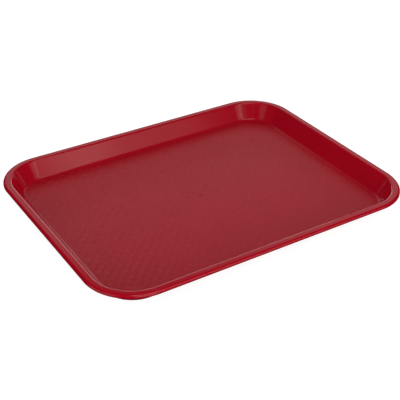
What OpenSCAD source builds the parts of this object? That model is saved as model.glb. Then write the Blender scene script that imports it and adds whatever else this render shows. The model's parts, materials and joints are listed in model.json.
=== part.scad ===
// Fast food tray, injection moulded in one piece: a flat floor, sloping walls
// and a rim that turns down at its outer edge. The origin is on the table, under
// the centre of the floor. X runs along the tray, Y across it, Z up.

/* [Tray] */
// Length over the rim, along X
tray_l = 454; // [400:1:520]
// Width over the rim, along Y
tray_w = 352; // [300:1:400]
// Height from the table to the top of the rim
tray_h = 25.4; // [22:0.2:32]
// Radius of the corners at the outer edge of the rim
corner_r = 63.5; // [54:0.5:80]

/* [Floor] */
// Thickness of the floor
floor_t = 2.3; // [1.8:0.1:3.5]
// Radius inside, where the floor turns up into the walls
bend_r = 5; // [2:0.5:9]

/* [Walls] */
// Thickness of the walls, measured square to them
wall_t = 2.2; // [1.6:0.1:3]
// Slope of the walls, in degrees from upright, which lets trays nest
wall_slope = 32; // [15:1:38]

/* [Rim] */
// Width of the rim, from the top of the inner wall to the outer edge
rim_w = 10.2; // [9:0.2:14]
// Thickness of the top of the rim
rim_t = 2.2; // [1.6:0.1:2.8]
// Radius of the crest, where the inner wall meets the rim
crest_r = 3.4; // [1:0.2:4]
// Radius of the rounded outer edge
edge_r = 3.2; // [2:0.2:3.4]
// Radius of the two hollow corners under the rim
under_r = 1.2; // [0.4:0.2:1.2]

/* [Lip] */
// Height of the turned-down lip, from the top of the rim
lip_h = 4.3; // [4.3:0.1:6]
// Thickness of the lip
lip_t = 2; // [1.8:0.1:2.6]
// Radius of the two bottom edges of the lip
lip_end_r = 0.7; // [0.3:0.1:0.8]

/* [Stacking lugs] */
// How far a tray sits above the one that it is stacked on
stack_step = 6.5; // [5:0.5:10]
// Reach of a lug over the rim of the tray below, from the top of the inner wall
lug_reach = 4; // [3:0.5:4.5]
// Thickness of a lug, along the wall
lug_t = 3; // [2:0.5:6]
// Distance from the end of a straight wall to the middle of its lug
lug_end = 12; // [8:1:40]

/* [Gate mark] */
// Diameter of the dimple in the middle of the floor, over the moulding gate
dimple_d = 5; // [3:0.5:10]
// Depth of the dimple
dimple_depth = 0.3; // [0.1:0.1:0.6]
// Diameter of the relief under the floor, which keeps the gate stub off the table
relief_d = 16; // [12:1:30]
// Depth of the relief
relief_depth = 0.6; // [0.4:0.1:0.8]
// Diameter of the gate stub
stub_d = 3; // [2:0.5:5]
// Height of the gate stub
stub_h = 0.4; // [0.2:0.1:0.4]

/* [Hidden] */
$fn = 96;

// Cuts run this far past a face
past = 1;
// Rounds run this far past the lines they blend, to meet each line at one clean corner
graze = 0.0005;

// Straight run of the walls between the corners, along X and along Y
run_x = tray_l - 2*corner_r;
run_y = tray_w - 2*corner_r;

// The section is drawn from the centre of a corner: first number outwards, second up
crest_out = corner_r - rim_w;
rim_under = tray_h - rim_t;
lip_in = corner_r - lip_t;
lip_under = tray_h - lip_h;
lug_under = tray_h - stack_step;

// Thickness of a wall, measured level
wall_across = wall_t/cos(wall_slope);

// Distance from the corner's centre to the inner face of the wall, at height z
function wall_in(z) = crest_out - (tray_h - z)*tan(wall_slope);

// Distance from the corner's centre to the outer face of the wall, at height z
function wall_out(z) = wall_in(z) + wall_across;

// Distance from the corner's centre to the middle of the wall, at height z
function wall_mid(z) = wall_in(z) + wall_across/2;

// Sharp corners of the section, from the floor's underside round to its top
section_points = [
    [0, 0],
    [wall_out(0), 0],
    [wall_out(rim_under), rim_under],
    [lip_in, rim_under],
    [lip_in, lip_under],
    [corner_r, lip_under],
    [corner_r, tray_h],
    [crest_out, tray_h],
    [wall_in(floor_t), floor_t],
    [0, floor_t]
];

// Corners that are rounded off: place in the list of points, and radius
outer_rounds = [
    [1, bend_r + wall_t],
    [4, lip_end_r],
    [5, lip_end_r],
    [6, edge_r],
    [7, crest_r]
];

// Corners that are filled in: place in the list of points, and radius
inner_rounds = [
    [2, under_r],
    [3, under_r],
    [8, bend_r]
];

function unit(v) = v/norm(v);

// What lies between a sharp corner of the section and the round that replaces it
module corner_web(place, radius) {
    point = section_points[place];
    to_last = unit(section_points[place - 1] - point);
    to_next = unit(section_points[place + 1] - point);
    half_angle = acos(to_last*to_next)/2;
    along = radius/tan(half_angle);
    centre = point + unit(to_last + to_next)*radius/sin(half_angle);
    difference() {
        polygon([point, point + to_last*along, centre, point + to_next*along]);
        translate(centre)
            circle(radius + graze);
    }
}

// Section through the floor, a wall, the rim and its lip
module tray_section() {
    difference() {
        union() {
            polygon(section_points);
            for (round = inner_rounds)
                corner_web(round[0], round[1]);
        }
        for (round = outer_rounds)
            corner_web(round[0], round[1]);
    }
}

// Lays a section drawn outwards and up along a side, for a given length
module along_side(length) {
    translate([-length/2, 0, 0])
        rotate([90, 0, 90])
            linear_extrude(length)
                children();
}

// Repeats what is drawn for the side at +Y on all four sides, at the corners' centre line
module on_each_side() {
    for (turn = [0, 180])
        rotate(turn)
            translate([0, run_y/2, 0])
                children(0);
    for (turn = [90, 270])
        rotate(turn)
            translate([0, run_x/2, 0])
                children(1);
}

module floor_middle() {
    translate([-run_x/2, -run_y/2, 0])
        cube([run_x, run_y, floor_t]);
}

module sides() {
    on_each_side() {
        along_side(run_x)
            tray_section();
        along_side(run_y)
            tray_section();
    }
}

module corners() {
    for (turn = [0:3]) {
        side_x = (turn == 0 || turn == 3) ? 1 : -1;
        side_y = (turn < 2) ? 1 : -1;
        translate([side_x*run_x/2, side_y*run_y/2, 0])
            rotate(turn*90)
                rotate_extrude(angle = 90)
                    tray_section();
    }
}

// A rib between the wall and the rim, whose foot stands on the rim of the tray below
module lug() {
    rim_mid = tray_h - rim_t/2;
    along_side(lug_t)
        polygon([
            [wall_mid(lug_under), lug_under],
            [crest_out + lug_reach, lug_under],
            [crest_out + lug_reach, rim_mid],
            [wall_mid(rim_mid), rim_mid]
        ]);
}

module lug_pair(run) {
    for (side = [-1, 1])
        translate([side*(run/2 - lug_end), 0, 0])
            lug();
}

module lugs() {
    on_each_side() {
        lug_pair(run_x);
        lug_pair(run_y);
    }
}

module gate_dimple() {
    translate([0, 0, floor_t - dimple_depth])
        cylinder(h = dimple_depth + past, d = dimple_d);
}

// The gate stub stands in its relief, clear of the table
module gate_relief() {
    difference() {
        translate([0, 0, -past])
            cylinder(h = relief_depth + past, d = relief_d);
        translate([0, 0, relief_depth - stub_h])
            cylinder(h = stub_h + past, d = stub_d);
    }
}

module tray() {
    color([0.58, 0.04, 0.09])
        difference() {
            union() {
                floor_middle();
                sides();
                corners();
                lugs();
            }
            gate_dimple();
            gate_relief();
        }
}

tray();
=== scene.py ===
import json
import math

import bmesh
import bpy
from mathutils import Matrix, Vector

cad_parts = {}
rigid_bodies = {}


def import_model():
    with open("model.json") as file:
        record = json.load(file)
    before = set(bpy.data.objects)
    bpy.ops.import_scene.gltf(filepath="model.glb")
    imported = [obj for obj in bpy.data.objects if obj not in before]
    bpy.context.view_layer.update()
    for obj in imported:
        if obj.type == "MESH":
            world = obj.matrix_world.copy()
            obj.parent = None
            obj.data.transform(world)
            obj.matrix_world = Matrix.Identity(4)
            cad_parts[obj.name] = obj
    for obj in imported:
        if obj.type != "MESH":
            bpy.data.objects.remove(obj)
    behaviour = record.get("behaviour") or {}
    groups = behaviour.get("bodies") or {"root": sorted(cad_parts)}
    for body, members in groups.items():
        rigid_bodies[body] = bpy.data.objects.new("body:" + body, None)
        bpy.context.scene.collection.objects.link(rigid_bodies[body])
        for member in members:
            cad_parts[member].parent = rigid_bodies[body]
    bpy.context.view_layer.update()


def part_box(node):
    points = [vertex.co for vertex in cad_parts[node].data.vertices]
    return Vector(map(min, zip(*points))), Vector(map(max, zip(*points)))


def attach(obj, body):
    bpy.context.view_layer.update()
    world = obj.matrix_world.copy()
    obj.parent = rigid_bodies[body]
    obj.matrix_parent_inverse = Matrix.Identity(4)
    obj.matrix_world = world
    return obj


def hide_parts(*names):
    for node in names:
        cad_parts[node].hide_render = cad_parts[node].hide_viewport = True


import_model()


# Camera. It looks down on the tray over its left front corner, from the distance
# and through the lens that shorten the two far sides as the photograph does.
view_azimuth = math.radians(-32.55)
view_elevation = math.radians(32.18)
view_roll = math.radians(0.44)
view_distance = 1.195
view_target = Vector((-0.0048, -0.0060, 0))
view_lens = 80.8

bpy.ops.object.camera_add()
camera = bpy.context.object
camera.name = "camera"
camera.data.lens = view_lens
view_turn = (
    Matrix.Rotation(view_azimuth, 4, "Z")
    @ Matrix.Rotation(math.pi / 2 - view_elevation, 4, "X")
    @ Matrix.Rotation(view_roll, 4, "Z")
)
view_back = Matrix.Translation((0, 0, view_distance))
camera.matrix_world = Matrix.Translation(view_target) @ view_turn @ view_back
bpy.context.scene.camera = camera


# Moulded shell. The tray is one piece of red polypropylene, injection moulded with the
# same section all round: floor, bend, sloping wall, crest, rim and turned-down lip.
# It is modelled from the lip inwards, once over the top and once along the underside.
tray_low, tray_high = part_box("tray")
tray_length = tray_high.x - tray_low.x
tray_width = tray_high.y - tray_low.y
tray_height = tray_high.z
corner_radius = 0.0635
corner_steps = 32
floor_thickness = 0.0023
wall_thickness = 0.0022
wall_slope = math.radians(32)
bend_radius = 0.0050
rim_width = 0.0102
rim_thickness = 0.0022
crest_radius = 0.0034
edge_radius = 0.0032
lip_height = 0.0043
lip_thickness = 0.0020
lip_end_radius = 0.0007
hollow_radius = 0.0012
smooth_margin = 0.0005

# How finely each curve of the section is stepped
edge_steps = 12
crest_steps = 12
bend_steps = 10
lip_end_steps = 4
lip_hollow_steps = 5
wall_hollow_steps = 4

# The pigment where the flow left it thin and where it left it dense, and the paler
# plastic that a scuff lays open
red_thin = (0.37, 0.0010, 0.0110, 1)
red_dense = (0.33, 0.0006, 0.0090, 1)
red_scuffed = (0.41, 0.014, 0.026, 1)
plastic_ior = 1.49
plastic_specular = 0.3
wave_scale = 14

# Scuffs are noise stretched into hairs, in three directions, of which only the peaks show
scuff_scale = 1100
scuff_turns = (25, 80, 130)
scuff_stretch = (0.02, 1, 1)
scuff_faint = 0.70
scuff_full = 0.78


def place_node(tree, kind, inputs, **settings):
    """Adds a node with its settings, and sets or links its inputs by name or number."""
    placed = tree.nodes.new(kind)
    for name, value in settings.items():
        setattr(placed, name, value)
    for name, value in inputs.items():
        if isinstance(value, bpy.types.NodeSocket):
            tree.links.new(value, placed.inputs[name])
        else:
            placed.inputs[name].default_value = value
    return placed


def mix_colours(tree, share, first, second):
    """The colour that lies a share of the way from the first to the second."""
    mixed = place_node(
        tree, "ShaderNodeMix", {0: share, 6: first, 7: second}, data_type="RGBA"
    )
    return mixed.outputs[2]


def spread(tree, value, low, high):
    """A value from 0 to 1, spread over the range from low to high."""
    spread_out = place_node(
        tree, "ShaderNodeMapRange", {"Value": value, "To Min": low, "To Max": high}
    )
    return spread_out.outputs["Result"]


def make_moulded_surface():
    """Node group for the surface that a mould leaves: the fine grain of its steel, the
    slow waves of the plastic's flow, and the hairline scuffs of handling."""
    group = bpy.data.node_groups.new("moulded_surface", "ShaderNodeTree")
    for name in ("Grain scale", "Wave scale", "Scuff scale"):
        group.interface.new_socket(name, in_out="INPUT", socket_type="NodeSocketFloat")
    for name in ("Grain", "Waves", "Scuffs"):
        group.interface.new_socket(name, in_out="OUTPUT", socket_type="NodeSocketFloat")
    given = group.nodes.new("NodeGroupInput").outputs
    result = group.nodes.new("NodeGroupOutput").inputs
    place = place_node(group, "ShaderNodeTexCoord", {}).outputs["Object"]

    def noise(where, scale, detail):
        inputs = {"Vector": where, "Scale": scale, "Detail": detail}
        return place_node(group, "ShaderNodeTexNoise", inputs).outputs["Fac"]

    group.links.new(noise(place, given["Grain scale"], detail=3), result["Grain"])
    group.links.new(noise(place, given["Wave scale"], detail=1), result["Waves"])
    scuffs = 0.0
    for turn in scuff_turns:
        turned = {
            "Vector": place,
            "Location": (turn, 0, 0),
            "Rotation": (0, 0, math.radians(turn)),
            "Scale": scuff_stretch,
        }
        along = place_node(group, "ShaderNodeMapping", turned).outputs["Vector"]
        peaks = {
            "Value": noise(along, given["Scuff scale"], detail=2),
            "From Min": scuff_faint,
            "From Max": scuff_full,
        }
        hairs = place_node(group, "ShaderNodeMapRange", peaks).outputs["Result"]
        joined = place_node(group, "ShaderNodeMath", {0: scuffs, 1: hairs}, operation="MAXIMUM")
        scuffs = joined.outputs["Value"]
    group.links.new(scuffs, result["Scuffs"])
    return group


moulded_surface = make_moulded_surface()


def red_plastic(name, roughnesses, grain_scale, grain_depth, wave_depth, scuffing):
    """Material of the tray, with the finish of one part of the mould. The roughness runs
    between the two given, the depths are in metres, and scuffing is a share."""
    material = bpy.data.materials.new(name)
    material.use_nodes = True
    tree = material.node_tree
    scales = {
        "Grain scale": grain_scale, "Wave scale": wave_scale, "Scuff scale": scuff_scale
    }
    surface = tree.nodes.new("ShaderNodeGroup")
    surface.node_tree = moulded_surface
    for socket, scale in scales.items():
        surface.inputs[socket].default_value = scale
    grain, waves = surface.outputs["Grain"], surface.outputs["Waves"]
    scuffs = spread(tree, surface.outputs["Scuffs"], 0, scuffing)
    pigment = mix_colours(tree, waves, red_dense, red_thin)
    roughness = spread(tree, grain, *roughnesses)
    dulled = place_node(tree, "ShaderNodeMath", {0: roughness, 1: scuffs}, operation="ADD")
    grained = place_node(
        tree, "ShaderNodeBump", {"Height": grain, "Distance": grain_depth}
    ).outputs["Normal"]
    waved = place_node(
        tree, "ShaderNodeBump", {"Height": waves, "Distance": wave_depth, "Normal": grained}
    ).outputs["Normal"]
    plastic = tree.nodes["Principled BSDF"]
    plastic.inputs["IOR"].default_value = plastic_ior
    plastic.inputs["Specular IOR Level"].default_value = plastic_specular
    colour = mix_colours(tree, scuffs, pigment, red_scuffed)
    tree.links.new(colour, plastic.inputs["Base Color"])
    tree.links.new(dulled.outputs["Value"], plastic.inputs["Roughness"])
    tree.links.new(waved, plastic.inputs["Normal"])
    return material


polished_red = red_plastic(
    "polished_red",
    roughnesses=(0.13, 0.19),
    grain_scale=1500,
    grain_depth=0.000004,
    wave_depth=0.00006,
    scuffing=0.10,
)
floor_red = red_plastic(
    "floor_red",
    roughnesses=(0.27, 0.38),
    grain_scale=1100,
    grain_depth=0.000030,
    wave_depth=0.00003,
    scuffing=0.08,
)
under_red = red_plastic(
    "under_red",
    roughnesses=(0.28, 0.38),
    grain_scale=1300,
    grain_depth=0.000012,
    wave_depth=0.00006,
    scuffing=0.06,
)

# Headings along the section, as angles from level and inwards
level = 0
upright = math.pi / 2
down_wall = upright - wall_slope


def pick(kind, wanted):
    """Selects, in edit mode, the faces or edges that pass a test. Kind is FACE or EDGE."""
    bpy.ops.mesh.select_mode(type=kind)
    bpy.ops.mesh.select_all(action="DESELECT")
    mesh = bpy.context.edit_object.data
    shape = bmesh.from_edit_mesh(mesh)
    parts = shape.faces if kind == "FACE" else shape.edges
    for part in parts:
        if wanted(part):
            part.select = True
    bmesh.update_edit_mesh(mesh)


def faces_up(face):
    """Tells whether a face looks straight up, or nearly so."""
    return face.normal.z > 0.9


def faces_down(face):
    """Tells whether a face looks straight down, or nearly so."""
    return face.normal.z < -0.9


def straight(length, heading):
    """One step along a straight stretch of the section, as how far it goes inwards and
    how far along the normal of the face. Its heading is an angle from inwards."""
    return [(length * math.cos(heading), length * math.sin(heading))]


def curve(radius, first, last, steps):
    """The steps round an arc of the section, from the first heading to the last."""
    turn = (last - first) / steps
    chord = 2 * radius * math.sin(abs(turn) / 2)
    return [straight(chord, first + turn * (step + 0.5))[0] for step in range(steps)]


def taken_up(radius, turn):
    """The length of each straight stretch that a round of that turn takes up."""
    return radius * math.tan(turn / 2)


def follow_section(steps):
    """Carries the selected face along a section, with one inset for each step."""
    for inwards, outwards in steps:
        bpy.ops.mesh.inset(thickness=max(inwards, 0), depth=outwards)


def give_finish(finish):
    """Gives the selected faces the material of their part of the mould."""
    tray.active_material_index = tray.data.materials.find(finish.name)
    bpy.ops.object.material_slot_assign()


lip_face_top = tray_height - edge_radius
lip_face_bottom = tray_height - lip_height + lip_end_radius
lip_face_middle = (lip_face_top + lip_face_bottom) / 2
bpy.ops.object.select_all(action="DESELECT")
bpy.ops.mesh.primitive_cube_add(size=1, location=(0, 0, lip_face_middle))
tray = bpy.context.object
tray.name = "moulded_tray"
tray.scale = (tray_length, tray_width, lip_face_top - lip_face_bottom)
bpy.ops.object.transform_apply(location=True, rotation=True, scale=True)
for finish in (polished_red, floor_red, under_red):
    tray.data.materials.append(finish)
bpy.ops.object.mode_set(mode="EDIT")
pick("EDGE", lambda edge: edge.verts[0].co.xy == edge.verts[1].co.xy)
bpy.ops.mesh.bevel(offset=corner_radius, segments=corner_steps, affect="EDGES")

crest_cut = taken_up(crest_radius, down_wall)
bend_cut = taken_up(bend_radius, down_wall)
wall_length = (tray_height - floor_thickness) / math.sin(down_wall)
top_section = (
    curve(edge_radius, upright, level, edge_steps)
    + straight(rim_width - edge_radius - crest_cut, level)
    + curve(crest_radius, level, -down_wall, crest_steps)
    + straight(wall_length - crest_cut - bend_cut, -down_wall)
    + curve(bend_radius, -down_wall, -down_wall / 2, bend_steps // 2)
)

# The matte finish of the floor begins half-way down the bend
foot_section = (
    curve(bend_radius, -down_wall / 2, level, bend_steps // 2)
    + straight(smooth_margin, level)
)
pick("FACE", faces_up)
follow_section(top_section)
give_finish(floor_red)
follow_section(foot_section)

wall_across = wall_thickness / math.cos(wall_slope)
under_bend_radius = bend_radius + wall_thickness
under_bend_cut = taken_up(under_bend_radius, down_wall)
hollow_cut = taken_up(hollow_radius, down_wall)
under_wall_length = (tray_height - rim_thickness) / math.sin(down_wall)
rim_under_width = (
    rim_width - lip_thickness - wall_across + rim_thickness * math.tan(wall_slope)
)
lip_section = curve(lip_end_radius, upright, level, lip_end_steps)
under_section = (
    straight(lip_thickness - 2 * lip_end_radius, level)
    + curve(lip_end_radius, level, -upright, lip_end_steps)
    + straight(lip_height - rim_thickness - lip_end_radius - hollow_radius, -upright)
    + curve(hollow_radius, -upright, level, lip_hollow_steps)
    + straight(rim_under_width - hollow_radius - hollow_cut, level)
    + curve(hollow_radius, level, down_wall, wall_hollow_steps)
    + straight(under_wall_length - hollow_cut - under_bend_cut, down_wall)
    + curve(under_bend_radius, down_wall, level, bend_steps)
)
pick("FACE", faces_down)
follow_section(lip_section)
give_finish(under_red)
follow_section(under_section)
bpy.ops.object.mode_set(mode="OBJECT")

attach(tray, "root")
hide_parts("tray")


# Gate mark. The plastic entered the mould at the middle of the underside, through a gate
# that leaves a low stub in a shallow relief. Above it, the floor has a small dimple in a
# round spot without weave, dulled by the flow of the plastic.
spot_diameter = 0.0100
dimple_diameter = 0.0050
dimple_depth = 0.0003
dimple_side = 0.0001
dimple_side_share = 0.6
dimple_foot = 0.0003
relief_diameter = 0.0160
relief_depth = 0.0006
stub_diameter = 0.0030
stub_height = 0.0004
gate_steps = 48
height_tolerance = 0.000001

gate_red = red_plastic(
    "gate_red",
    roughnesses=(0.52, 0.66),
    grain_scale=1100,
    grain_depth=0.000030,
    wave_depth=0.00003,
    scuffing=0.08,
)
tray.data.materials.append(gate_red)


def open_circle(height, diameter, finish):
    """Cuts the one large face at that height round a circle at its middle, gives it the
    finish, and selects the face inside the circle."""

    def lies_level(face):
        return abs(face.calc_center_median().z - height) < height_tolerance

    pick("FACE", lambda face: lies_level(face) and len(face.verts) > 4)
    bpy.ops.mesh.delete(type="ONLY_FACE")
    bpy.ops.mesh.primitive_circle_add(
        vertices=gate_steps, radius=diameter / 2, location=(0, 0, height)
    )
    for add_faces in (bpy.ops.mesh.fill, bpy.ops.mesh.edge_face_add):
        pick("EDGE", lambda edge: len(edge.link_faces) < 2)
        add_faces()
        give_finish(finish)
    bpy.ops.mesh.select_all(action="SELECT")
    bpy.ops.mesh.normals_make_consistent(inside=False)
    pick("FACE", lambda face: lies_level(face) and len(face.verts) == gate_steps)


bpy.ops.object.mode_set(mode="EDIT")
open_circle(floor_thickness, spot_diameter, floor_red)
give_finish(gate_red)
spot_ring = (spot_diameter - dimple_diameter) / 2

# The dimple goes down steeply for a share of its depth, and then rounds off into its bottom
dimple_side_depth = dimple_side_share * dimple_depth
dimple_section = [
    (spot_ring, 0),
    (dimple_side, -dimple_side_depth),
    (dimple_foot, dimple_side_depth - dimple_depth),
]
follow_section(dimple_section)
open_circle(0, relief_diameter, under_red)
relief_ring = (relief_diameter - stub_diameter) / 2
follow_section([(0, -relief_depth), (relief_ring, 0), (0, stub_height)])
bpy.ops.object.mode_set(mode="OBJECT")


# Floor weave. The mould's floor is engraved with a basketweave, which keeps plates from
# sliding: squares of four low ridges each, that run along and across by turns.
cell_size = 0.0070
ridge_count = 4
ridge_pitch = cell_size / ridge_count
first_ridge = -(ridge_count - 1) / 2 * ridge_pitch
ridge_length = 0.0064
ridge_width = 0.00125
ridge_height = 0.00015
ridge_root = 0.00010
ridge_taper = (0.95, 0.45, 1)
weave_corner_radius = (
    corner_radius - rim_width - wall_length * math.cos(down_wall) - bend_cut - smooth_margin
)
weave_corner_steps = 8

# An even number of blocks of four squares each way, so that a joint falls in the middle
columns = math.ceil(tray_length / (2 * cell_size) / 2) * 2
rows = math.ceil(tray_width / (2 * cell_size) / 2) * 2
bpy.ops.object.select_all(action="DESELECT")
bpy.ops.mesh.primitive_cube_add(
    size=1,
    location=(0, first_ridge, floor_thickness + (ridge_height - ridge_root) / 2),
)
weave = bpy.context.object
weave.name = "floor_weave"
weave.scale = (ridge_length, ridge_width, ridge_height + ridge_root)
bpy.ops.object.transform_apply(location=True, rotation=True, scale=True)
bpy.ops.object.mode_set(mode="EDIT")
pick("FACE", faces_up)
bpy.ops.transform.resize(
    value=ridge_taper, center_override=(0, first_ridge, floor_thickness)
)
bpy.ops.object.mode_set(mode="OBJECT")


def repeat(piece, count, step):
    """Repeats the piece along a step, as one mesh."""
    array = piece.modifiers.new("repeat", "ARRAY")
    array.count = count
    array.use_relative_offset = False
    array.use_constant_offset = True
    array.constant_offset_displace = step
    bpy.ops.object.modifier_apply(modifier=array.name)


repeat(weave, ridge_count, (0, ridge_pitch, 0))
bpy.ops.object.mode_set(mode="EDIT")
bpy.ops.mesh.select_all(action="SELECT")
bpy.ops.mesh.duplicate_move(TRANSFORM_OT_translate={"value": (cell_size, 0, 0)})
bpy.ops.transform.rotate(
    value=math.pi / 2, orient_axis="Z", center_override=(cell_size, 0, 0)
)
bpy.ops.mesh.select_all(action="SELECT")
bpy.ops.mesh.duplicate()
bpy.ops.transform.rotate(
    value=math.pi, orient_axis="Z", center_override=(cell_size / 2, cell_size / 2, 0)
)
bpy.ops.mesh.select_all(action="SELECT")
bpy.ops.transform.translate(
    value=((0.5 - columns) * cell_size, (0.5 - rows) * cell_size, 0)
)
bpy.ops.object.mode_set(mode="OBJECT")
repeat(weave, columns, (2 * cell_size, 0, 0))
repeat(weave, rows, (0, 2 * cell_size, 0))

centre_x = tray_length / 2 - corner_radius
centre_y = tray_width / 2 - corner_radius
bpy.ops.object.mode_set(mode="EDIT")
for step in range(4 * weave_corner_steps):
    angle = step * math.tau / (4 * weave_corner_steps)
    outwards = Vector((math.cos(angle), math.sin(angle), 0))
    corner = Vector(
        (math.copysign(centre_x, outwards.x), math.copysign(centre_y, outwards.y), 0)
    )
    bpy.ops.mesh.select_all(action="SELECT")
    bpy.ops.mesh.bisect(
        plane_co=corner + outwards * weave_corner_radius,
        plane_no=outwards,
        clear_outer=True,
        use_fill=True,
    )
pick("FACE", lambda face: face.calc_center_median().xy.length < spot_diameter / 2)
bpy.ops.mesh.select_linked()
bpy.ops.mesh.delete(type="VERT")
bpy.ops.object.mode_set(mode="OBJECT")
weave.data.materials.append(floor_red)


# Stacking lugs. Eight short ribs between the wall and the rim, two on each side, are
# moulded with the tray. They stand on the rim of the tray below, so that trays part again.
stack_step = 0.0065
lug_reach = 0.0040
lug_thickness = 0.0030
lug_end = 0.0120
lug_round = 0.0004

lug_bottom = tray_height - stack_step
lug_top = tray_height - rim_thickness / 2
lug_front = rim_width - lug_reach
lug_back = rim_width - wall_across / 2 + rim_thickness / 2 * math.tan(wall_slope)
lug_lean = (lug_top - lug_bottom) * math.tan(wall_slope)
lug_middle = (lug_front + lug_back) / 2
lug_centre_height = (lug_bottom + lug_top) / 2
bpy.ops.object.select_all(action="DESELECT")
bpy.ops.mesh.primitive_cube_add(size=1, location=(0, lug_middle, lug_centre_height))
lug = bpy.context.object
lug.scale = (lug_thickness, lug_back - lug_front, lug_top - lug_bottom)
bpy.ops.object.transform_apply(location=True, rotation=True, scale=True)
bpy.ops.object.mode_set(mode="EDIT")
pick(
    "EDGE",
    lambda edge: all(
        vert.co.y > lug_middle and vert.co.z < lug_centre_height for vert in edge.verts
    ),
)
bpy.ops.transform.translate(value=(0, lug_lean, 0))
pick(
    "EDGE",
    lambda edge: all(vert.co.y < lug_middle for vert in edge.verts)
    and any(vert.co.z < lug_centre_height for vert in edge.verts),
)
bpy.ops.mesh.bevel(offset=lug_round, segments=2, affect="EDGES")
bpy.ops.object.mode_set(mode="OBJECT")
lug.data.materials.append(under_red)

lugs = []
for side in range(4):
    along, across = (tray_length, tray_width) if side % 2 == 0 else (tray_width, tray_length)
    for end in (-1, 1):
        bpy.ops.object.select_all(action="DESELECT")
        lug.select_set(True)
        bpy.context.view_layer.objects.active = lug
        bpy.ops.object.duplicate()
        placed_lug = bpy.context.object
        place = Vector((end * (along / 2 - corner_radius - lug_end), -across / 2, 0))
        side_turn = Matrix.Rotation(side * math.pi / 2, 4, "Z")
        placed_lug.matrix_world = side_turn @ Matrix.Translation(place)
        bpy.ops.object.transform_apply(location=True, rotation=True, scale=True)
        lugs.append(placed_lug)
bpy.data.objects.remove(lug)

# All of it is one moulding, and so one mesh
bpy.ops.object.select_all(action="DESELECT")
for part in (tray, weave, *lugs):
    part.select_set(True)
bpy.context.view_layer.objects.active = tray
bpy.ops.object.join()

# Faces that meet at less than this are smoothed into one surface
smooth_angle = math.radians(30)
bpy.ops.object.shade_smooth_by_angle(angle=smooth_angle)
weighted = tray.modifiers.new("flat_faces_stay_flat", "WEIGHTED_NORMAL")
weighted.keep_sharp = True
weighted.weight = 100
bpy.ops.object.modifier_apply(modifier=weighted.name)


# Table and backdrop. The tray stands on a plain pale table, which runs on to a backdrop.
# Both are seen as white, and neither is part of the tray.
table_size = 12
table_grey = (0.32, 0.32, 0.32, 1)
table_seen = 0.90
backdrop_lit = 0.33
backdrop_seen = 1.0
white = (1, 1, 1, 1)
bpy.ops.object.select_all(action="DESELECT")
bpy.ops.mesh.primitive_plane_add(size=table_size)
table = bpy.context.object
table.name = "table"

table_finish = bpy.data.materials.new("table_finish")
table_finish.use_nodes = True
table_tree = table_finish.node_tree


def seen_directly(tree):
    """1 where a ray comes straight from the camera, a reflection or a clear piece."""
    path = tree.nodes.new("ShaderNodeLightPath").outputs
    mirrored = place_node(
        tree,
        "ShaderNodeMath",
        {0: path["Is Camera Ray"], 1: path["Is Glossy Ray"]},
        operation="MAXIMUM",
    )
    through = place_node(
        tree,
        "ShaderNodeMath",
        {0: mirrored.outputs["Value"], 1: path["Is Transmission Ray"]},
        operation="MAXIMUM",
    )
    return through.outputs["Value"]


table_paint = table_tree.nodes["Principled BSDF"]
table_paint.inputs["Base Color"].default_value = table_grey
table_paint.inputs["Roughness"].default_value = 0.9
table_paint.inputs["Emission Color"].default_value = white
table_glow = spread(table_tree, seen_directly(table_tree), 0, table_seen)
table_tree.links.new(table_glow, table_paint.inputs["Emission Strength"])
table.data.materials.append(table_finish)

backdrop = bpy.data.worlds.new("backdrop")
bpy.context.scene.world = backdrop
backdrop.use_nodes = True
backdrop_tree = backdrop.node_tree
backdrop_light = backdrop_tree.nodes["Background"]
backdrop_light.inputs["Color"].default_value = white
backdrop_glow = spread(
    backdrop_tree, seen_directly(backdrop_tree), backdrop_lit, backdrop_seen
)
backdrop_tree.links.new(backdrop_glow, backdrop_light.inputs["Strength"])


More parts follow.
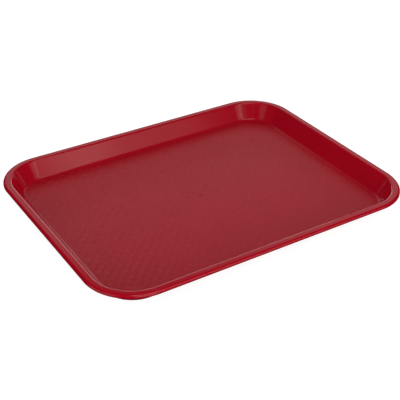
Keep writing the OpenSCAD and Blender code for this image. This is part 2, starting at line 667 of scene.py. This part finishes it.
# Black tent, a painted reflection. It stands over the tray, out of the picture, with its ground
# sheet on the table, so that the glossy plastic mirrors the soft boxes inside it and not the
# white room. Only reflections
# see it: the camera doesn't, and it neither dims the light nor casts shadows. Its ground sheet
# lies over the white table, so the lower edge of the lip mirrors painted black in place of the
# table.
tent_radius = 2.6
painted_reflection_colour = (0.01, 0.01, 0.01, 1)
sheet_height = 0.0004
bpy.ops.object.select_all(action="DESELECT")
bpy.ops.mesh.primitive_uv_sphere_add(segments=64, ring_count=32, radius=tent_radius)
painted_reflection_tent = bpy.context.object
painted_reflection_tent.name = "painted_reflection_tent"
bpy.ops.object.mode_set(mode="EDIT")
bpy.ops.mesh.select_all(action="SELECT")
bpy.ops.mesh.bisect(
    plane_co=(0, 0, sheet_height), plane_no=(0, 0, 1), clear_inner=True, use_fill=True
)
bpy.ops.object.mode_set(mode="OBJECT")
# Reflections alone see the tent: its black is a painted reflection, and light and shadow pass
# through it
painted_reflection_tent.visible_camera = False
painted_reflection_tent.visible_diffuse = False
painted_reflection_tent.visible_shadow = False

painted_reflection_black = bpy.data.materials.new("painted_reflection_black")
painted_reflection_black.use_nodes = True
painted_reflection_cloth = painted_reflection_black.node_tree.nodes["Principled BSDF"]
painted_reflection_cloth.inputs["Base Color"].default_value = painted_reflection_colour
painted_reflection_cloth.inputs["Roughness"].default_value = 1
painted_reflection_tent.data.materials.append(painted_reflection_black)


# Studio light. Soft boxes stand round the tray at one distance, each given by the
# direction that it shines from, its size in metres and the brightness of its face.
box_distance = 1.6


def soft_box(name, azimuth, elevation, width, height, brightness):
    """Adds a soft box that faces the tray, with the power that its brightness and area
    come to. Azimuth 0 is in front and 90 to the right."""
    bpy.ops.object.light_add(type="AREA")
    box = bpy.context.object
    box.name = name
    box.data.shape = "RECTANGLE"
    box.data.size = width
    box.data.size_y = height
    box.data.energy = brightness * math.pi * width * height
    around, above = math.radians(azimuth), math.radians(elevation)
    level_reach = math.cos(above)
    outwards = Vector(
        (math.sin(around) * level_reach, -math.cos(around) * level_reach, math.sin(above))
    )
    facing = outwards.to_track_quat("Z", "Y").to_matrix().to_4x4()
    box.matrix_world = Matrix.Translation(outwards * box_distance) @ facing
    box.visible_camera = False


soft_box("high_front_box", -5, 63, 1.00, 0.56, 4.8)
soft_box("front_box", 9, 31, 0.45, 0.90, 0.3)
soft_box("front_core", 22.5, 30, 0.22, 0.85, 1.5)
soft_box("front_wing", 30, 29, 0.50, 0.80, 1.0)
soft_box("low_front_box", -8, 13, 1.10, 0.46, 4.4)
soft_box("low_front_wing", 32, 10, 0.50, 0.34, 1.7)
soft_box("left_box", -76, 34, 0.55, 0.90, 0.6)
soft_box("low_left_box", -90, 15, 1.60, 0.46, 2.4)
soft_box("right_strip", 94, 8, 0.20, 0.40, 0.5)
soft_box("back_strip", 155, 6, 0.90, 0.38, 3.6)
soft_box("back_wing", 126, 6, 0.83, 0.38, 1.3)
soft_box("back_box", 148, 30, 1.50, 0.66, 0.78)
soft_box("corner_strip", -158, 8, 0.12, 0.30, 0.6)

bpy.context.scene.view_settings.view_transform = "Standard"
